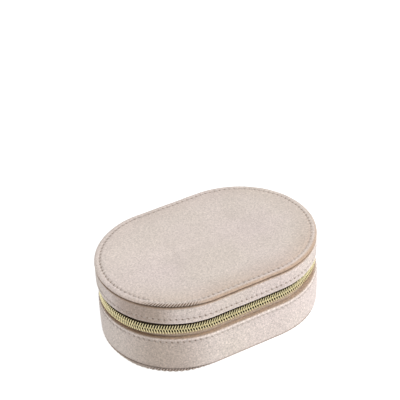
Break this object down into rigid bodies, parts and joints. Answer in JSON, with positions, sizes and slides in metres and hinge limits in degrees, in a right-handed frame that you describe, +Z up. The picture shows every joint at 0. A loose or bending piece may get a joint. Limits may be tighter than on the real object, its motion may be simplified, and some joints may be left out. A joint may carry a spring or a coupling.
{
  "type": "travel jewelry case",
  "caption": "Stadium-shaped velvet travel jewelry case with a stitched lid on a fabric hinge, a zip round its walls, ring rolls, divided compartments and a lid mirror.",
  "frame": {"origin": "centre of the face that the case rests on", "axes": "+X along the case's length, +Y towards the lid's hinge, +Z up through the lid"},
  "size_m": [0.1272, 0.088, 0.0456],
  "materials": {
    "velvet": "champagne velvet, short pile",
    "velvet_lining": "matching velvet lining",
    "board": "grey board",
    "foam": "thin foam sheet",
    "zip_tape": "woven tan zip tape",
    "gold_coil": "gold-coated coil",
    "gold_metal": "polished pale gold",
    "mirror_glass": "clear silvered glass"
  },
  "bodies": {
    "base": {"bottom_cover": "velvet", "bottom_board": "board", "base_outer_cover": "velvet", "base_wall_board": "board", "base_collar_board": "board", "base_wall_lining": "velvet_lining", "floor_pad": "velvet_lining", "divider_left": "velvet_lining", "divider_right": "velvet_lining", "divider_short": "velvet_lining", "ring_roll_1": "velvet_lining", "ring_roll_2": "velvet_lining", "ring_roll_3": "velvet_lining", "zip_tape_lower": "zip_tape", "zip_coil_lower": "gold_coil", "zip_top_stop_lower": "gold_metal", "zip_bottom_stop": "gold_metal", "hinge_strip": "velvet"},
    "lid": {"lid_top_cover": "velvet", "lid_top_pad": "foam", "lid_top_board": "board", "lid_outer_cover": "velvet", "lid_wall_board": "board", "lid_wall_lining": "velvet_lining", "lid_lining_panel": "velvet_lining", "lid_mirror": "mirror_glass", "mirror_frame": "velvet_lining", "zip_tape_upper": "zip_tape", "zip_coil_upper": "gold_coil", "zip_top_stop_upper": "gold_metal"},
    "slider": {"slider_body": "gold_metal"},
    "link": {"pull_link": "gold_metal"},
    "tab": {"pull_tab": "gold_metal"}
  },
  "joints": [
    {"name": "lid_hinge", "type": "hinge", "parent": "base", "child": "lid", "pos_m": [0, 0.04035, 0.02695], "axis": [-1, 0, 0], "range_deg": [0, 110], "deforming": ["zip_tape_upper", "zip_coil_upper", "hinge_strip"]},
    {"name": "slider_travel", "type": "hinge", "parent": "base", "child": "slider", "pos_m": [0.0196, 0, 0.02695], "axis": [0, 0, -1], "range_deg": [0, 153], "deforming": ["zip_coil_lower"]},
    {"name": "link_swing", "type": "hinge", "parent": "slider", "child": "link", "pos_m": [0.04019, 0.04041, 0.02695], "axis": [0.891, -0.454, 0], "range_deg": [0, 180]},
    {"name": "tab_swing", "type": "hinge", "parent": "link", "child": "tab", "pos_m": [0.04019, 0.04041, 0.02235], "axis": [0.454, 0.891, 0], "range_deg": [-60, 60]}
  ]
}
